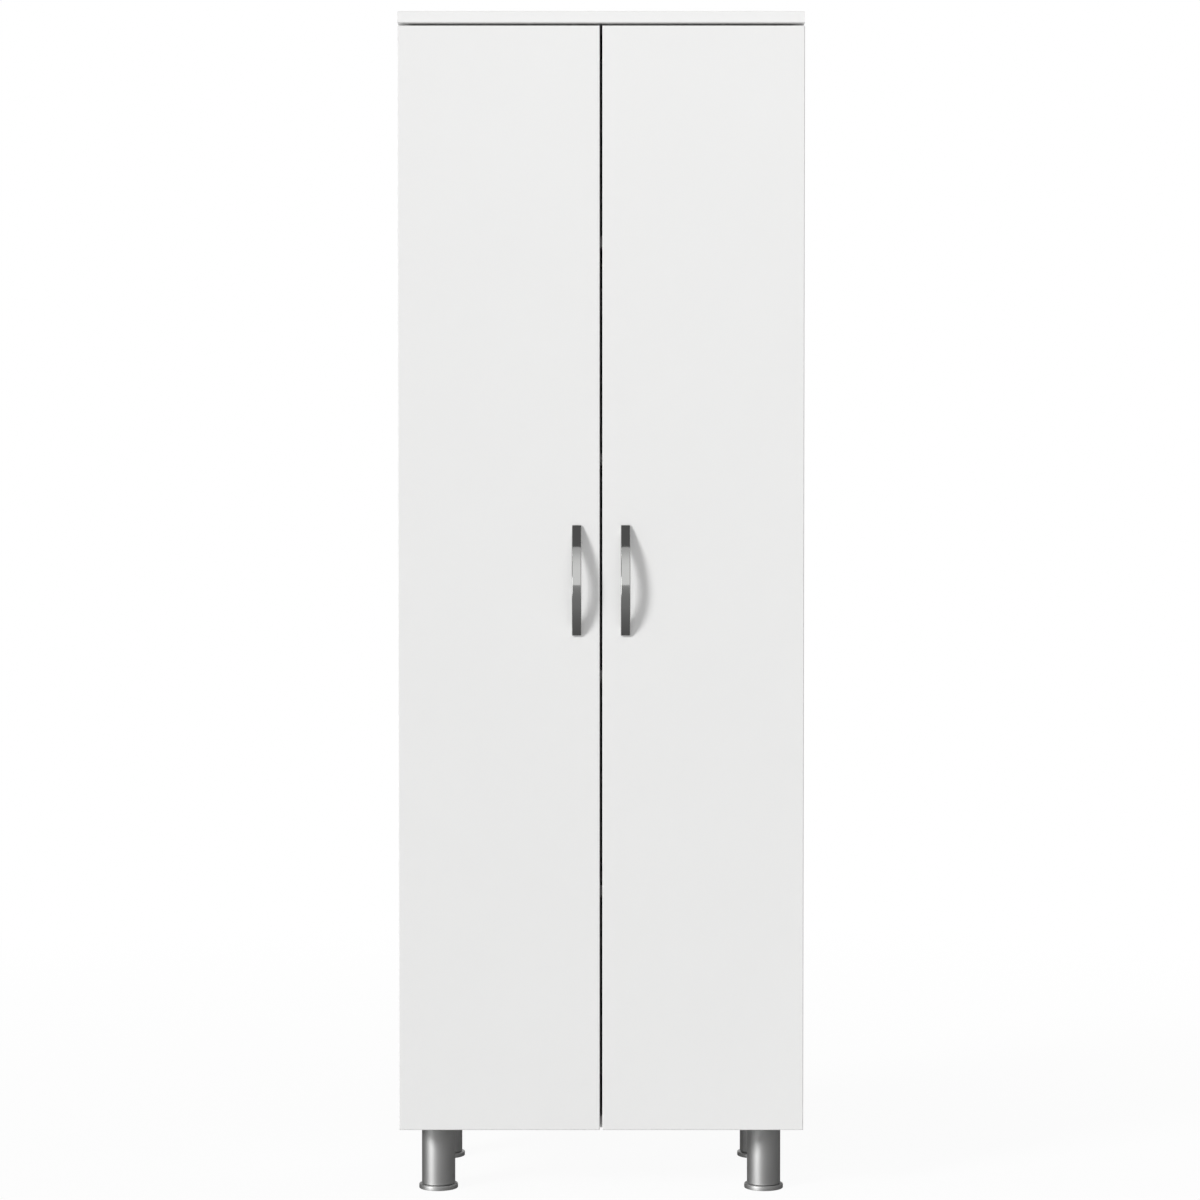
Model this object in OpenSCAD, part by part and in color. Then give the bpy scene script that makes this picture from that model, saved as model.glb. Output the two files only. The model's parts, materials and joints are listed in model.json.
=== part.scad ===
// Tall pantry cabinet: a board case on four levelling legs, with two overlay doors on
// concealed hinges, bow handles and four shelves. Millimetres, +Z up, the front faces -Y.
// The origin is on the floor, in the middle of the width and of the overall depth.

/* [Cabinet] */
// Width of the case, and of the pair of doors in front of it
cabinet_w = 615; // [560:1:800]
// Height from the floor to the top face
cabinet_h = 1800; // [1780:1:1900]
// Depth from the door faces to the rear of the back panel
cabinet_d = 372; // [340:1:500]
// Thickness of the case and door boards
board_t = 18; // [17:0.5:20]
// Thickness of the back panel
back_t = 3; // [2.5:0.5:5]
// Chamfer along the exposed edges of the boards
edge_chamfer = 1; // [0.5:0.1:1.5]

/* [Doors] */
// Gap between the two doors
centre_gap = 4; // [2:0.5:6]
// Gap between the doors and the top panel
top_gap = 4; // [3:0.5:6]
// Gap between the doors and the case, which the bumpers fill
bumper_t = 2; // [2:0.1:3]
// Diameter of a door bumper
bumper_d = 9; // [6:0.5:12]
// Distance from a door's free corner to its bumper
bumper_inset = 9; // [7:0.5:11]

/* [Shelves] */
// Clear height of the lowest compartment
first_clear = 334; // [320:1:350]
// Height from one shelf to the next
shelf_pitch = 330; // [310:1:340]
// Distance from the case's front edges to the shelves' front edges
shelf_setback = 12; // [6:1:40]
// Clearance at each end of a shelf, and behind it
shelf_play = 1; // [0.5:0.25:2]
// Diameter of a shelf pin
pin_d = 5; // [4:0.5:6]
// Depth of a shelf pin's hole
pin_hole = 10; // [8:0.5:12]
// Length of the tongue that a shelf lies on
pin_tongue = 9; // [7:0.5:12]
// Distance from the case's front and rear edges to the rows of shelf holes
pin_inset = 50; // [40:1:80]
// Height from one shelf hole to the next
pin_step = 32; // [25:1:40]

/* [Handles] */
// Length of a handle
handle_l = 168; // [140:1:220]
// Width of the bar
handle_w = 14.5; // [10:0.5:20]
// How far a handle stands out from its door
handle_out = 27; // [22:0.5:34]
// Thickness of the bar at the middle of the bow
handle_t = 4; // [3.5:0.5:7]
// Height of the square end of the bar
handle_end = 3; // [2:0.5:4]
// Length of the foot at each end
handle_foot = 12; // [11:0.5:20]
// Distance from a handle's end to its screw
handle_screw_in = 8; // [7:0.5:8.5]
// Distance from a door's free edge to the middle of its handle
handle_inset = 35; // [25:1:60]
// Chamfer along the edges of the bar
handle_chamfer = 1.3; // [0.5:0.1:1.5]
// Diameter of a handle screw
handle_screw_d = 4; // [3.5:0.5:5]

/* [Legs] */
// Height of the case's underside above the floor
leg_h = 104; // [95:1:130]
// Distance from the case's edges to the middle of a leg
leg_inset = 56; // [52:1:66]
// Outer diameter of a leg tube
leg_d = 51.5; // [40:0.5:54]
// Wall thickness of a leg tube
leg_wall = 1.5; // [1:0.1:2.5]
// Side of a leg's square mounting plate
plate_w = 64; // [60:1:70]
// Thickness of a leg's mounting plate
plate_t = 2.5; // [2:0.1:4]
// Distance between the screws of a mounting plate
plate_pitch = 48; // [46:0.5:50]
// Length of the spigot that a tube is pushed onto
spigot_l = 14; // [10:0.5:20]
// Diameter of a foot's pad
foot_d = 60; // [55:0.5:70]
// Height of a foot's pad
foot_h = 7; // [5.5:0.5:12]
// Width of the seam between a pad and its tube
foot_seam = 1; // [0.5:0.1:2]
// Diameter of a foot's stud
stud_d = 10; // [8:0.5:12]
// Length of a foot's stud inside its bush
stud_l = 38; // [32:1:50]
// Length of the bush in a tube
bush_l = 20; // [15:1:24]

/* [Joints of the case] */
// Diameter of a cam lock
cam_d = 15; // [12:0.5:16]
// Depth of a cam lock
cam_h = 12.5; // [12:0.1:13]
// Distance from a joint to the middle of its cam lock
cam_reach = 34; // [30:0.5:40]
// Length of a cam bolt's threaded end
bolt_end = 11; // [9:0.5:12]
// Distance from the case's front and rear edges to the cam bolts
bolt_inset = 112; // [105:1:130]
// Diameter of a wood dowel
dowel_d = 8; // [6:1:9]
// Length of a wood dowel
dowel_l = 30; // [25:1:35]
// Distance from the case's front and rear edges to the dowels
dowel_inset = 14; // [10:1:18]
// Distance from one nail of the back panel to the next, at most
nail_step = 180; // [120:5:250]

/* [Hinges] */
// Number of hinges on a door
hinge_count = 4; // [2:1:5]
// Distance from a door's ends to the middle of its outer hinges
hinge_inset = 100; // [80:1:120]
// Depth of a hinge cup
cup_h = 12.5; // [12.5:0.1:13.2]
// Distance from a door's outer edge to its cup bores
cup_edge = 5; // [4.8:0.1:5.2]
// Distance between the two screws of a cup
cup_pitch = 45; // [42:0.5:48]
// Distance from a cup's middle to the line of its screws
cup_offset = 9.5; // [8:0.5:10]
// Distance from the case's front edges to the front plate screw
plate_screw_inset = 37; // [33:0.5:45]
// Distance between the two screws of a hinge plate
plate_screw_pitch = 32; // [30:0.5:40]

/* [Fits] */
// Clearance round pieces that are pushed into their holes
push_fit = 0.05; // [0.02:0.01:0.1]
// Radial clearance of a link on its pins
pin_fit = 0.06; // [0.03:0.01:0.1]
// Radial clearance of a foot's stud in its bush
stud_fit = 0.08; // [0.03:0.01:0.1]

/* [Hidden] */
$fn = 64;

white_board = [0.90, 0.90, 0.89];
satin_metal = [0.68, 0.69, 0.71];
bright_metal = [0.80, 0.81, 0.83];
zinc = [0.72, 0.73, 0.75];
beech = [0.78, 0.62, 0.42];
clear_rubber = [0.86, 0.87, 0.88];

// The case
inner_w = cabinet_w - 2 * board_t;
top_under = cabinet_h - board_t;
side_h = top_under - leg_h;
door_face = (handle_out - cabinet_d) / 2;
door_back = door_face + board_t;
case_front = door_back + bumper_t;
back_face = door_face + cabinet_d;
case_back = back_face - back_t;
case_d = case_back - case_front;
back_margin = 1;

// The doors
door_w = (cabinet_w - centre_gap) / 2;
door_h = top_under - top_gap - leg_h;
door_top = leg_h + door_h;

// The shelves
shelf_count = 4;
shelf_w = inner_w - 2 * shelf_play;
shelf_front = case_front + shelf_setback;
shelf_d = case_back - shelf_play - shelf_front;
shelf_zs = [for (i = [0:shelf_count - 1]) leg_h + board_t + first_clear + i * shelf_pitch];
pin_ys = [case_front + pin_inset, case_back - pin_inset];
pin_rim = 1.2;

// The handles
handle_z = leg_h + door_h / 2;
handle_x = centre_gap / 2 + handle_inset;
bow_rise = handle_out - handle_end;
bow_r = (pow(handle_l / 2, 2) + pow(bow_rise, 2)) / (2 * bow_rise);
hollow_half = handle_l / 2 - handle_foot;
hollow_rise = handle_out - handle_t;
hollow_r = (pow(hollow_half, 2) + pow(hollow_rise, 2)) / (2 * hollow_rise);
handle_screw_depth = 4.5;
handle_screw_head = 2.5;

// The legs
leg_x = cabinet_w / 2 - leg_inset;
leg_ys = [case_front + leg_inset, case_back - leg_inset];
tube_bottom = foot_h + foot_seam;
foot_edge = 0.8;
foot_collar_in = 3;
tube_top = leg_h - plate_t;
tube_bore = leg_d - 2 * leg_wall;

// The joints of the case
end_play = 0.5;
cam_play = 0.3;
bolt_d = 6;
bolt_bore = 7;
bolt_collar = 5;
bolt_shank = cam_reach - cam_d / 2 - end_play;
shank_d = 5;
bolt_neck_d = 3.6;
bolt_head_d = 6.4;
bolt_head_h = 3;
dowel_in_face = 10;
nail_d = 1.6;
nail_l = 20;
nail_head_d = 4.5;
nail_head_h = 0.7;
nail_margin = 40;
nail_corner = 60;
leg_screw_d = 4;
leg_screw_l = 14;

// The hinges, in their own frame: x inward from the door's outer edge, y back from its rear face
hinge_zs = [for (i = [0:hinge_count - 1])
    leg_h + hinge_inset + i * (door_h - 2 * hinge_inset) / (hinge_count - 1)];
cup_d = 35;
cup_wall = 0.8;
cup_x = cup_edge + cup_d / 2;
cup_bore = cup_d - 2 * cup_wall;
cup_floor = cup_wall - cup_h;
flange_t = 1;
flange_rim = 1.5;
cup_ear = 11;
cup_slot_in = 12;
cup_slot_side = 0.6;
cup_cheek_l = 10.5;
cup_cheek_sunk = 0.4;
cup_screw_head = 2;
cup_screw_d = 3.5;
cup_screw_l = 12;

// The layers of a hinge, out from its middle: inner link, outer link, then the arm and the lugs
cheek_t = 1.5;
cheek_gap = 0.3;
inner_half = 2.4;
outer_in = inner_half + cheek_gap;
outer_out = outer_in + cheek_t;
arm_in = outer_out + cheek_gap;
arm_out = arm_in + cheek_t;

// The four pivots and the bends of the two links: a door turns by 1.44/0.44 of its outer link's
// angle against that link, and its inner link by 0.709/0.44 of it. With these two fixed ratios
// the inner link's cup pin strays by up to 0.25 mm, which its wider bore allows.
arm_pins_apart = 11.9;
arm_pins_step = 18.6;
inner_pin_in = 9.3;
inner_pin_back = 3.4;
cup_pin_out = 10.9;
cup_pin_sunk = 2.4;
cup_pins_apart = 0.7;
cup_pins_step = 3.2;
outer_bend_in = 6.7;
outer_bend_back = 2.8;
outer_knee_in = 5.3;
outer_knee_sunk = 2.6;
inner_bend_in = 5.2;
inner_bend_out = 1;
inner_bend_rise = 1.2;
inner_arm_pin = [cup_x + inner_pin_in, inner_pin_back];
outer_arm_pin = inner_arm_pin + [arm_pins_apart, arm_pins_step];
outer_cup_pin = [cup_x - cup_pin_out, -cup_pin_sunk];
inner_cup_pin = outer_cup_pin + [cup_pins_apart, -cup_pins_step];
outer_path = [outer_arm_pin, inner_arm_pin + [outer_bend_in, outer_bend_back],
    [cup_x + outer_knee_in, -outer_knee_sunk], outer_cup_pin];
link_low = cup_floor + inner_bend_rise;
inner_path = [inner_arm_pin, [inner_arm_pin[0] + inner_bend_in, link_low],
    [inner_cup_pin[0] - inner_bend_out, link_low], inner_cup_pin];
hinge_pin_d = 1.9;
link_t = 1.8;
web_drop = 4.7;
web_l = 5;
link_eye = 4.2;
open_eye = 4;
open_play = 0.3;

// The arm and the plate that it clamps onto
plate_base = 2;
rail_h = 10;
rail_half = 4.2;
rail_setback = 26;
rail_front = bumper_t + rail_setback;
rail_l = 58;
arm_roof = board_t + plate_base + rail_h;
arm_lift = 0.8;
arm_bottom = board_t + plate_base + arm_lift;
arm_setback = 36;
arm_front = bumper_t + arm_setback;
arm_l = 50;
neck_l = 16;
neck_end = [arm_roof + cheek_t, arm_front + neck_l];
nose_w = 5.2;
plate_screw_d = 5;
plate_screw_l = 12;
plate_screw_head = 2.5;
plate_hole = plate_screw_l - plate_base + 2 * end_play;
arm_screw_d = 4;
arm_screw_l = 9;
arm_screw_head = 2.2;
first_arm_screw = 22;
arm_screw_pitch = 18;
arm_screw_ys = [arm_front + first_arm_screw, arm_front + first_arm_screw + arm_screw_pitch];

// Helpers

module both_sides() {
    children();
    mirror([1, 0, 0]) children();
}

module chamfered_rect(w, h, c) {
    polygon([[c, 0], [w - c, 0], [w, c], [w, h - c], [w - c, h], [c, h], [0, h - c], [0, c]]);
}

module rounded_square(w, r) {
    square([w - 2 * r, w], center = true);
    square([w, w - 2 * r], center = true);
    for (x = [-1, 1], y = [-1, 1]) translate([x, y] * (w / 2 - r)) circle(r);
}

// A strip of width w with round ends, from a to b
module capsule(a, b, w) {
    run = b - a;
    for (end = [a, b]) translate(end) circle(d = w);
    translate(a) rotate(atan2(run[1], run[0])) translate([0, -w / 2]) square([norm(run), w]);
}

// A board lying flat, with chamfers round both faces
module faced_board(w, d, t) {
    intersection() {
        rotate([90, 0, 90]) linear_extrude(w) chamfered_rect(d, t, edge_chamfer);
        translate([0, d, 0]) rotate([90, 0, 0]) linear_extrude(d) chamfered_rect(w, t, edge_chamfer);
    }
}

// A board lying flat across the case, with chamfers on its front edge only
module cross_board(w, d, t) {
    c = edge_chamfer;
    translate([-w / 2, 0, 0]) rotate([90, 0, 90]) linear_extrude(w)
        polygon([[c, 0], [d, 0], [d, t], [c, t], [0, t - c], [0, c]]);
}

// A screw along Z with a countersunk head, whose face lies at z = 0
module countersunk_screw(d, l) {
    translate([0, 0, -l]) cylinder(d = d, h = l);
    translate([0, 0, -d / 2]) cylinder(d1 = d, d2 = 2 * d, h = d / 2);
}

// A screw along Z with a raised head, whose seat lies at z = 0
module pan_screw(d, l, head_h) {
    translate([0, 0, -l]) cylinder(d = d, h = l);
    difference() {
        cylinder(d = 2 * d, h = head_h);
        for (turn = [0, 90]) rotate(turn)
            translate([-0.6 * d, -0.12 * d, head_h / 2]) cube([1.2 * d, 0.24 * d, head_h]);
    }
}

// Places of the joints: +Z points into the board that takes the bolt's threaded end, and +X
// points out of the face that the cam lock is let into

module bottom_joints(inset) {
    for (y = [case_front + inset, case_back - inset])
        translate([inner_w / 2, y, leg_h + board_t / 2]) rotate([0, 90, 0]) children();
}

module top_joints(inset) {
    for (y = [case_front + inset, case_back - inset])
        translate([(cabinet_w - board_t) / 2, y, top_under]) rotate([0, 0, 180]) children();
}

module cam_bolt() {
    cylinder(d = bolt_d, h = bolt_end);
    translate([0, 0, -bolt_collar]) cylinder(d = bolt_bore - 2 * push_fit, h = bolt_collar);
    translate([0, 0, -bolt_shank]) cylinder(d = shank_d, h = bolt_shank);
    translate([0, 0, -cam_reach - bolt_head_h / 2]) {
        cylinder(d = bolt_neck_d, h = cam_reach);
        cylinder(d = bolt_head_d, h = bolt_head_h);
    }
}

module cam_lock() {
    translate([0, 0, -cam_reach]) difference() {
        translate([board_t / 2 - cam_h, 0, 0]) rotate([0, 90, 0]) cylinder(d = cam_d, h = cam_h);
        cylinder(d = bolt_neck_d + 2 * cam_play, h = cam_d);
        translate([0, 0, -bolt_head_h / 2 - cam_play])
            cylinder(d = bolt_head_d + 2 * cam_play, h = bolt_head_h + 2 * cam_play);
        for (turn = [45, 135]) translate([board_t / 2, 0, 0]) rotate([turn, 0, 0])
            cube([3, 8, 1.4], center = true);
    }
}

// What a cam bolt needs in the board that it is screwed into
module bolt_socket() {
    translate([0, 0, -1]) cylinder(d = bolt_d + 2 * push_fit, h = bolt_end + 1 + end_play);
}

// What a cam bolt and its lock need in the other board
module cam_bore() {
    bore_end = cam_reach + bolt_head_h / 2 + end_play;
    translate([0, 0, -bore_end]) cylinder(d = bolt_bore, h = bore_end + 1);
    translate([board_t / 2 - cam_h, 0, -cam_reach]) rotate([0, 90, 0])
        cylinder(d = cam_d + 2 * push_fit, h = cam_h + 1);
}

module dowel() {
    translate([0, 0, dowel_in_face - dowel_l]) rotate_extrude()
        polygon([[0, 0], [dowel_d / 2 - 1, 0], [dowel_d / 2, 1], [dowel_d / 2, dowel_l - 1],
                 [dowel_d / 2 - 1, dowel_l], [0, dowel_l]]);
}

module dowel_drilling() {
    translate([0, 0, dowel_in_face - dowel_l - end_play])
        cylinder(d = dowel_d + 2 * push_fit, h = dowel_l + 2 * end_play);
}

// Places of the nails along the back panel's edges: +Z points out of the back
module back_nail_places() {
    rise = top_under - leg_h - 2 * nail_margin;
    rows = ceil(rise / nail_step);
    cols = ceil((cabinet_w - 2 * nail_corner) / nail_step);
    for (i = [0:rows], x = [-1, 1])
        translate([x * (cabinet_w - board_t) / 2, back_face, leg_h + nail_margin + i * rise / rows])
            rotate([-90, 0, 0]) children();
    for (i = [0:cols], z = [leg_h + board_t / 2, cabinet_h - board_t / 2])
        translate([nail_corner - cabinet_w / 2 + i * (cabinet_w - 2 * nail_corner) / cols, back_face, z])
            rotate([-90, 0, 0]) children();
}

module nail(clearance = 0) {
    translate([0, 0, -nail_l - 10 * clearance]) cylinder(d = nail_d + 2 * clearance, h = nail_l);
    translate([0, 0, -nail_head_h])
        cylinder(d = nail_head_d + 2 * clearance, h = nail_head_h + 10 * clearance);
}

// The case

module side_panel() {
    color(white_board) difference() {
        translate([inner_w / 2, case_front, leg_h]) linear_extrude(side_h)
            polygon([[edge_chamfer, 0], [board_t - edge_chamfer, 0], [board_t, edge_chamfer],
                     [board_t, case_d], [0, case_d], [0, edge_chamfer]]);
        bottom_joints(bolt_inset) bolt_socket();
        bottom_joints(dowel_inset) dowel_drilling();
        top_joints(bolt_inset) cam_bore();
        top_joints(dowel_inset) dowel_drilling();
        for (z = shelf_zs, row = [-1:1], y = pin_ys)
            translate([inner_w / 2 - 1, y, z - pin_d / 2 + row * pin_step]) rotate([0, 90, 0])
                cylinder(d = pin_d + 2 * push_fit, h = pin_hole + 1);
        for (z = hinge_zs, up = [-1, 1]) translate([0, 0, z + up * plate_screw_pitch / 2])
            translate([inner_w / 2 - end_play, case_front + plate_screw_inset, 0])
                rotate([0, 90, 0]) cylinder(d = plate_screw_d + 2 * push_fit, h = plate_hole);
        back_nail_places() nail(push_fit);
    }
}

module top_panel() {
    color(white_board) difference() {
        translate([-cabinet_w / 2, door_face, top_under])
            faced_board(cabinet_w, case_back - door_face, board_t);
        both_sides() {
            top_joints(bolt_inset) bolt_socket();
            top_joints(dowel_inset) dowel_drilling();
        }
        back_nail_places() nail(push_fit);
    }
}

module bottom_panel() {
    color(white_board) difference() {
        translate([0, case_front, leg_h]) cross_board(inner_w, case_d, board_t);
        both_sides() {
            bottom_joints(bolt_inset) cam_bore();
            bottom_joints(dowel_inset) dowel_drilling();
        }
        leg_places() leg_screw_places()
            countersunk_screw(leg_screw_d + 2 * push_fit, leg_screw_l + end_play);
        back_nail_places() nail(push_fit);
    }
}

module back_panel() {
    color(white_board) difference() {
        translate([back_margin - cabinet_w / 2, case_back, leg_h + back_margin])
            cube([cabinet_w - 2 * back_margin, back_t, cabinet_h - leg_h - 2 * back_margin]);
        back_nail_places() nail(push_fit);
    }
}

module back_nails() {
    color(zinc) back_nail_places() nail();
}

module cam_locks() {
    color(zinc) both_sides() {
        bottom_joints(bolt_inset) cam_lock();
        top_joints(bolt_inset) cam_lock();
    }
}

module cam_bolts() {
    color(zinc) both_sides() {
        bottom_joints(bolt_inset) cam_bolt();
        top_joints(bolt_inset) cam_bolt();
    }
}

module dowels() {
    color(beech) both_sides() {
        bottom_joints(dowel_inset) dowel();
        top_joints(dowel_inset) dowel();
    }
}

// The shelves

module shelf(number) {
    color(white_board) translate([0, shelf_front, shelf_zs[number - 1]])
        cross_board(shelf_w, shelf_d, board_t);
}

// A stud in the side panel, a rim against it and a tongue under the shelf
module shelf_pin() {
    translate([inner_w / 2, 0, -pin_d / 2]) rotate([0, -90, 0]) {
        translate([0, 0, 0.5 - pin_hole]) cylinder(d = pin_d, h = pin_hole - 0.5);
        intersection() {
            cylinder(d = pin_d + 4, h = pin_rim);
            translate([-pin_d, -pin_d, 0]) cube([1.5 * pin_d, 2 * pin_d, pin_rim]);
        }
        translate([0, -pin_d / 2, 0]) cube([pin_d / 2, pin_d, pin_tongue]);
    }
}

module shelf_pins() {
    color(zinc) both_sides() for (z = shelf_zs, y = pin_ys) translate([0, y, z]) shelf_pin();
}

// The legs

module leg_places() {
    for (x = [-leg_x, leg_x], y = leg_ys) translate([x, y, 0]) children();
}

// Places of a mounting plate's screws: +Z points down, out of the plate's underside
module leg_screw_places() {
    for (x = [-1, 1], y = [-1, 1]) translate([x * plate_pitch / 2, y * plate_pitch / 2, tube_top])
        rotate([180, 0, 0]) children();
}

module leg_plates() {
    color(zinc) leg_places() {
        difference() {
            translate([0, 0, tube_top]) linear_extrude(plate_t) rounded_square(plate_w, 6);
            leg_screw_places() countersunk_screw(leg_screw_d + 2 * push_fit, leg_screw_l);
        }
        translate([0, 0, tube_top - spigot_l]) difference() {
            cylinder(d = tube_bore - 2 * push_fit, h = spigot_l);
            translate([0, 0, -1]) cylinder(d = tube_bore - 2 * push_fit - 2 * leg_wall, h = spigot_l + 1);
        }
    }
}

module leg_plate_screws() {
    color(zinc) leg_places() leg_screw_places() countersunk_screw(leg_screw_d, leg_screw_l);
}

module leg(x, y) {
    color(satin_metal) translate([x, y, tube_bottom]) difference() {
        cylinder(d = leg_d, h = tube_top - tube_bottom);
        translate([0, 0, -1]) cylinder(d = tube_bore, h = tube_top - tube_bottom + 2);
    }
}

module leg_bushes() {
    color(zinc) leg_places() translate([0, 0, tube_bottom]) difference() {
        cylinder(d = tube_bore - 2 * push_fit, h = bush_l);
        translate([0, 0, -1]) cylinder(d = stud_d + 2 * stud_fit, h = bush_l + 2);
    }
}

module foot(x, y) {
    c = foot_edge;
    collar_r = leg_d / 2 - foot_collar_in;
    color(satin_metal) translate([x, y, 0]) rotate_extrude()
        polygon([[0, 0], [foot_d / 2 - c, 0], [foot_d / 2, c], [foot_d / 2, foot_h - c],
                 [foot_d / 2 - c, foot_h], [collar_r, foot_h], [collar_r, tube_bottom],
                 [stud_d / 2, tube_bottom], [stud_d / 2, tube_bottom + stud_l - c],
                 [stud_d / 2 - c, tube_bottom + stud_l], [0, tube_bottom + stud_l]]);
}

// The left door: the right one is its mirror image

module handle_screw_places() {
    for (up = [-1, 1]) translate([-handle_x, door_back, handle_z + up * (handle_l / 2 - handle_screw_in)])
        rotate([-90, 0, 0]) children();
}

module door() {
    color(white_board) difference() {
        translate([-cabinet_w / 2, door_back, leg_h]) rotate([90, 0, 0])
            faced_board(door_w, door_h, board_t);
        hinge_places() {
            translate([cup_x, 1, 0]) rotate([90, 0, 0])
                cylinder(d = cup_d + 2 * push_fit, h = cup_h + 1 + end_play);
            cup_screw_places() translate([0, 0, -cup_screw_l - end_play])
                cylinder(d = cup_screw_d + 2 * push_fit, h = cup_screw_l + 1);
        }
        handle_screw_places() translate([0, 0, -board_t - 1])
            cylinder(d = handle_screw_d + 2 * push_fit, h = board_t + 2);
    }
}

// The bow is a disc's rim: one disc for its outer face, less a smaller one for the finger gap
module handle() {
    w = handle_w;
    c = handle_chamfer;
    color(bright_metal) difference() {
        translate([-handle_x, door_face, handle_z]) intersection() {
            difference() {
                translate([0, bow_r - handle_out, 0]) rotate([0, 90, 0]) rotate_extrude()
                    polygon([[0, -w / 2], [bow_r - c, -w / 2], [bow_r, c - w / 2], [bow_r, w / 2 - c],
                             [bow_r - c, w / 2], [0, w / 2]]);
                translate([0, hollow_r - hollow_rise, 0]) rotate([0, 90, 0]) rotate_extrude()
                    polygon([[0, -w / 2 - 1], [hollow_r + c + 1, -w / 2 - 1], [hollow_r, c - w / 2],
                             [hollow_r, w / 2 - c], [hollow_r + c + 1, w / 2 + 1], [0, w / 2 + 1]]);
            }
            translate([0, -handle_out - 1, 0]) cube([w, 2 * handle_out + 2, handle_l], center = true);
        }
        handle_screw_places() translate([0, 0, -board_t - handle_screw_depth - end_play])
            cylinder(d = handle_screw_d + 2 * push_fit, h = board_t + handle_screw_depth);
    }
}

module handle_screws() {
    color(zinc) handle_screw_places()
        pan_screw(handle_screw_d, board_t + handle_screw_depth, handle_screw_head);
}

module door_bumper() {
    color(clear_rubber) translate([-centre_gap / 2 - bumper_inset, case_front, leg_h + bumper_inset])
        rotate([90, 0, 0]) cylinder(d = bumper_d, h = bumper_t);
}

// The hinges of the left door: a layer is a flat outline that stands along the hinge's pins

module hinge_places() {
    for (z = hinge_zs) translate([-cabinet_w / 2, door_back, z]) children();
}

module web(half) {
    translate([0, 0, -half]) linear_extrude(2 * half) children();
}

module cheeks(from, to) {
    for (z = [-to, from]) translate([0, 0, z]) linear_extrude(to - from) children();
}

module pin_bores(pins, d) {
    for (p = pins) translate([p[0], p[1], -arm_out - 1]) cylinder(d = d, h = 2 * arm_out + 2);
}

module pins_at(pins) {
    for (p = pins) translate([p[0], p[1], -arm_out]) cylinder(d = hinge_pin_d, h = 2 * arm_out);
}

module bent_strip(path, w) {
    for (i = [1:len(path) - 1]) capsule(path[i - 1], path[i], w);
}

module cup_screw_places() {
    for (up = [-1, 1]) translate([cup_x + cup_offset, flange_t, up * cup_pitch / 2])
        rotate([-90, 0, 0]) children();
}

module plate_screw_places() {
    for (up = [-1, 1])
        translate([board_t + plate_base, bumper_t + plate_screw_inset, up * plate_screw_pitch / 2])
            rotate([0, 90, 0]) children();
}

module arm_screw_places() {
    for (y = arm_screw_ys) translate([arm_roof + cheek_t, y, 0]) rotate([0, 90, 0]) children();
}

module hinge_plates() {
    wing = plate_screw_d + 1.5;
    color(zinc) hinge_places() difference() {
        union() {
            translate([board_t, rail_front, -arm_out]) cube([plate_base, rail_l, 2 * arm_out]);
            translate([board_t, rail_front, -rail_half]) cube([plate_base + rail_h, rail_l, 2 * rail_half]);
            translate([board_t, bumper_t + plate_screw_inset, 0]) rotate([90, 0, 90])
                linear_extrude(plate_base)
                    capsule([0, -plate_screw_pitch / 2], [0, plate_screw_pitch / 2], 2 * wing);
        }
        plate_screw_places() translate([0, 0, -plate_base - 1])
            cylinder(d = plate_screw_d + 2 * push_fit, h = plate_base + 2);
        arm_screw_places() translate([0, 0, -arm_screw_l - end_play])
            cylinder(d = arm_screw_d + 2 * push_fit, h = arm_screw_l + end_play);
    }
}

module hinge_plate_screws() {
    color(zinc) hinge_places() plate_screw_places() pan_screw(plate_screw_d, plate_screw_l, plate_screw_head);
}

module arm_outline() {
    translate([arm_bottom, arm_front]) square([arm_roof + cheek_t - arm_bottom, arm_l]);
    polygon([[arm_bottom, arm_front], neck_end, outer_arm_pin + [nose_w / 2, 0.6],
             outer_arm_pin - [nose_w / 2, 0.6]]);
    capsule(outer_arm_pin, inner_arm_pin, nose_w);
}

module hinge_arms() {
    slope = outer_arm_pin + [nose_w / 2, 0.6] - neck_end;
    strip_end = neck_end + 0.75 * slope;
    inward = [slope[1], -slope[0]] * cheek_t / norm(slope);
    color(zinc) hinge_places() difference() {
        union() {
            cheeks(arm_in, arm_out) arm_outline();
            web(arm_out) {
                translate([arm_roof, arm_front + 4]) square([cheek_t, arm_l - 4]);
                polygon([neck_end, strip_end, strip_end + inward, neck_end + inward]);
            }
        }
        pin_bores([outer_arm_pin, inner_arm_pin], hinge_pin_d + 2 * push_fit);
        arm_screw_places() translate([0, 0, -cheek_t - 1])
            cylinder(d = arm_screw_d + 2 * push_fit, h = cheek_t + 2);
    }
}

module hinge_arm_screws() {
    color(zinc) hinge_places() arm_screw_places() pan_screw(arm_screw_d, arm_screw_l, arm_screw_head);
}

module hinge_arm_pins() {
    color(bright_metal) hinge_places() pins_at([outer_arm_pin, inner_arm_pin]);
}

// A forked link: the inner link passes between its two cheeks, and a web near the arm joins them
module outer_links() {
    color(bright_metal) hinge_places() difference() {
        web(outer_out) {
            bent_strip(outer_path, link_t);
            for (p = [outer_arm_pin, outer_cup_pin]) translate(p) circle(d = link_eye);
        }
        web(outer_in) {
            translate([0, outer_arm_pin[1] - web_drop]) square([2 * cup_d, cup_d]);
            translate([0, outer_arm_pin[1] - web_drop - web_l - 2 * cup_d]) square(2 * cup_d);
        }
        pin_bores([outer_arm_pin, outer_cup_pin], hinge_pin_d + 2 * pin_fit);
    }
}

module inner_links() {
    color(bright_metal) hinge_places() difference() {
        web(inner_half) {
            bent_strip(inner_path, link_t);
            translate(inner_arm_pin) circle(d = link_eye);
            translate(inner_cup_pin) circle(d = open_eye);
        }
        pin_bores([inner_arm_pin], hinge_pin_d + 2 * pin_fit);
        pin_bores([inner_cup_pin], hinge_pin_d + 2 * open_play);
    }
}

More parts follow.
